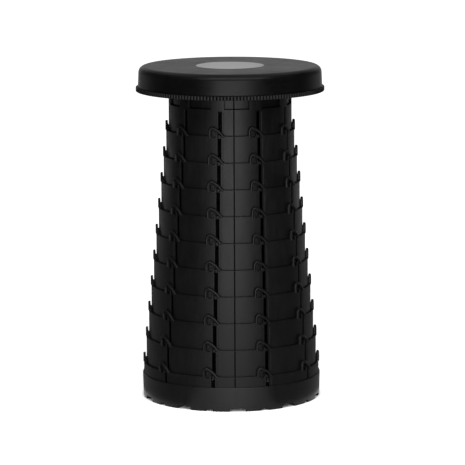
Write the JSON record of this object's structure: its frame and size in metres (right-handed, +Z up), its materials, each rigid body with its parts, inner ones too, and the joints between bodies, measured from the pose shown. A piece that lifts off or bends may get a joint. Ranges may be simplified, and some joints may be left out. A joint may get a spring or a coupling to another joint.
{
  "type": "collapsible telescopic stool",
  "caption": "Round collapsible stool: a flat seat on nested plastic rings with hooked slots that slide into one another and fold into a low drum.",
  "frame": {"origin": "on the floor, on the stool's axis, under the feet of the base ring", "axes": "+Z up along the axis of the rings, -Y towards the picture's camera, +X to the camera's right"},
  "size_m": [0.2498, 0.2498, 0.4428],
  "materials": {
    "black_plastic": "satin moulded black plastic with a fine spark texture",
    "satin_silver": "satin silver disc, turned, unmarked",
    "screw_steel": "zinc-plated steel"
  },
  "bodies": {
    "base": {"base_ring": "black_plastic", "ring_11": "black_plastic"},
    "ring_10_body": {"ring_10": "black_plastic"},
    "ring_9_body": {"ring_9": "black_plastic"},
    "ring_8_body": {"ring_8": "black_plastic"},
    "ring_7_body": {"ring_7": "black_plastic"},
    "ring_6_body": {"ring_6": "black_plastic"},
    "ring_5_body": {"ring_5": "black_plastic"},
    "ring_4_body": {"ring_4": "black_plastic"},
    "ring_3_body": {"ring_3": "black_plastic"},
    "ring_2_body": {"ring_2": "black_plastic"},
    "ring_1_body": {"ring_1": "black_plastic"},
    "seat": {"seat_collar": "black_plastic", "seat_cover": "black_plastic", "grip_ring": "black_plastic", "seat_badge": "satin_silver", "collar_screw_1": "screw_steel", "collar_screw_2": "screw_steel", "collar_screw_3": "screw_steel", "collar_screw_4": "screw_steel", "collar_screw_5": "screw_steel"}
  },
  "joints": [
    {"name": "ring_10_slide", "type": "slide", "parent": "base", "child": "ring_10_body", "axis": [0, 0, 1], "range_m": [-0.0343, 0.0015]},
    {"name": "ring_9_slide", "type": "slide", "parent": "ring_10_body", "child": "ring_9_body", "axis": [0, 0, 1], "range_m": [-0.0343, 0.0015]},
    {"name": "ring_8_slide", "type": "slide", "parent": "ring_9_body", "child": "ring_8_body", "axis": [0, 0, 1], "range_m": [-0.0343, 0.0015]},
    {"name": "ring_7_slide", "type": "slide", "parent": "ring_8_body", "child": "ring_7_body", "axis": [0, 0, 1], "range_m": [-0.0343, 0.0015]},
    {"name": "ring_6_slide", "type": "slide", "parent": "ring_7_body", "child": "ring_6_body", "axis": [0, 0, 1], "range_m": [-0.0343, 0.0015]},
    {"name": "ring_5_slide", "type": "slide", "parent": "ring_6_body", "child": "ring_5_body", "axis": [0, 0, 1], "range_m": [-0.0343, 0.0015]},
    {"name": "ring_4_slide", "type": "slide", "parent": "ring_5_body", "child": "ring_4_body", "axis": [0, 0, 1], "range_m": [-0.0343, 0.0015]},
    {"name": "ring_3_slide", "type": "slide", "parent": "ring_4_body", "child": "ring_3_body", "axis": [0, 0, 1], "range_m": [-0.0343, 0.0015]},
    {"name": "ring_2_slide", "type": "slide", "parent": "ring_3_body", "child": "ring_2_body", "axis": [0, 0, 1], "range_m": [-0.0343, 0.0015]},
    {"name": "ring_1_slide", "type": "slide", "parent": "ring_2_body", "child": "ring_1_body", "axis": [0, 0, 1], "range_m": [-0.0343, 0.0015]},
    {"name": "seat_slide", "type": "slide", "parent": "ring_1_body", "child": "seat", "axis": [0, 0, 1], "range_m": [-0.0343, 0.0015]}
  ]
}
